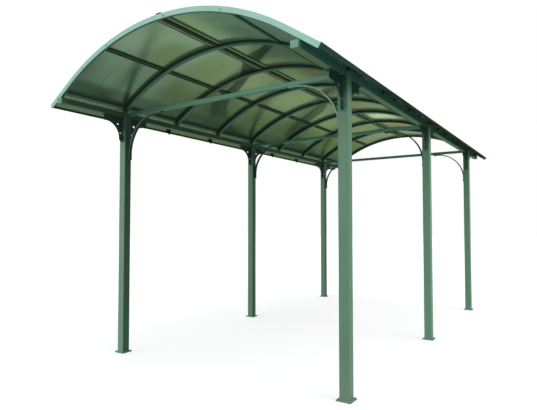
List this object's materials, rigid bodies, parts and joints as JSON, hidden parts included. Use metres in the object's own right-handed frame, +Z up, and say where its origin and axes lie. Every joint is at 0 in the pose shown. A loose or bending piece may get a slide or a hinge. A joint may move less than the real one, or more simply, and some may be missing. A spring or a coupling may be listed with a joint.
{
  "type": "carport",
  "caption": "Open carport: square posts on base plates carry eave beams, cross beams with curved braces, and an arched roof of translucent sheets.",
  "frame": {"origin": "on the ground under the middle of the roof", "axes": "+X across the carport to the right seen from the front, +Y from the front end to the rear end, +Z up"},
  "size_m": [2.601, 5.6, 2.7118],
  "materials": {
    "post_paint": "satin grey-green powder coat",
    "beam_paint": "satin dark green powder coat",
    "bracket_paint": "satin dark green powder coat",
    "arch_paint": "satin dark green coated aluminium",
    "fascia_paint": "satin pale green coated aluminium",
    "eave_bar": "matt pale olive filler profile",
    "end_cap": "matt grey-green moulded plastic",
    "roof_sheet": "translucent green twin-wall polycarbonate, glossy skin"
  },
  "bodies": {
    "root": {"arch_1": "arch_paint", "arch_2": "arch_paint", "arch_3": "arch_paint", "arch_4": "arch_paint", "arch_5": "arch_paint", "arch_6": "arch_paint", "arch_7": "arch_paint", "arch_8": "arch_paint", "arch_9": "arch_paint", "beam_end_caps": "end_cap", "cross_beam_front": "beam_paint", "cross_beam_middle": "beam_paint", "cross_beam_rear": "beam_paint", "eave_bars": "eave_bar", "eave_beam_left": "beam_paint", "eave_beam_right": "beam_paint", "eave_trims": "arch_paint", "fascia_front": "fascia_paint", "fascia_rear": "fascia_paint", "gussets_front_left": "bracket_paint", "gussets_front_right": "bracket_paint", "gussets_middle_left": "bracket_paint", "gussets_middle_right": "bracket_paint", "gussets_rear_left": "bracket_paint", "gussets_rear_right": "bracket_paint", "knee_braces_front": "bracket_paint", "knee_braces_middle": "bracket_paint", "knee_braces_rear": "bracket_paint", "post_front_left": "post_paint", "post_front_right": "post_paint", "post_middle_left": "post_paint", "post_middle_right": "post_paint", "post_rear_left": "post_paint", "post_rear_right": "post_paint", "purlins": "arch_paint", "ridge_cap": "arch_paint", "ridge_joiner": "arch_paint", "roof_sheets_1": "roof_sheet", "roof_sheets_2": "roof_sheet", "roof_sheets_3": "roof_sheet", "roof_sheets_4": "roof_sheet", "roof_sheets_5": "roof_sheet", "roof_sheets_6": "roof_sheet", "roof_sheets_7": "roof_sheet", "roof_sheets_8": "roof_sheet"}
  },
  "joints": []
}
